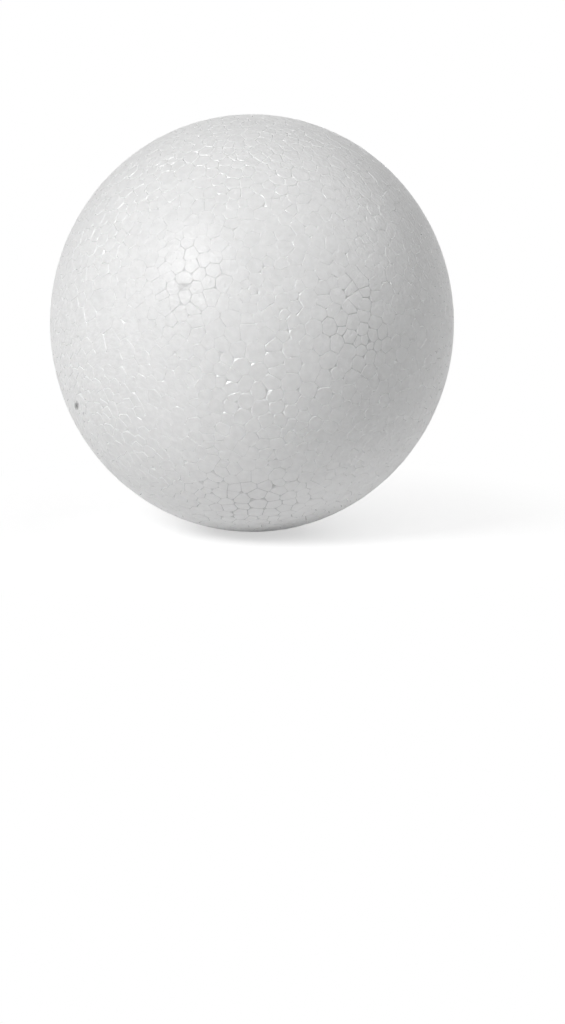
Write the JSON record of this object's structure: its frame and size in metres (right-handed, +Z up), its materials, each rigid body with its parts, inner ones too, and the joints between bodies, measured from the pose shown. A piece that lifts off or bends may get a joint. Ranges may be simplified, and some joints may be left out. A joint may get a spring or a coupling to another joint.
{
  "type": "polystyrene ball",
  "caption": "Solid white ball of fused foam beads with a satin skin, slightly narrower along its short axis, for crafts and decoration.",
  "frame": {"origin": "centre of the ball", "axes": "+Z up as the ball stands in the picture, +X to the right along the ball's short axis, on which its mould closes, and -Y towards the camera"},
  "size_m": [0.0968, 0.1, 0.1],
  "materials": {
    "white_foam": "satin white skin of fused beads with fine grooves between them"
  },
  "bodies": {
    "root": {"foam_ball": "white_foam"}
  },
  "joints": []
}
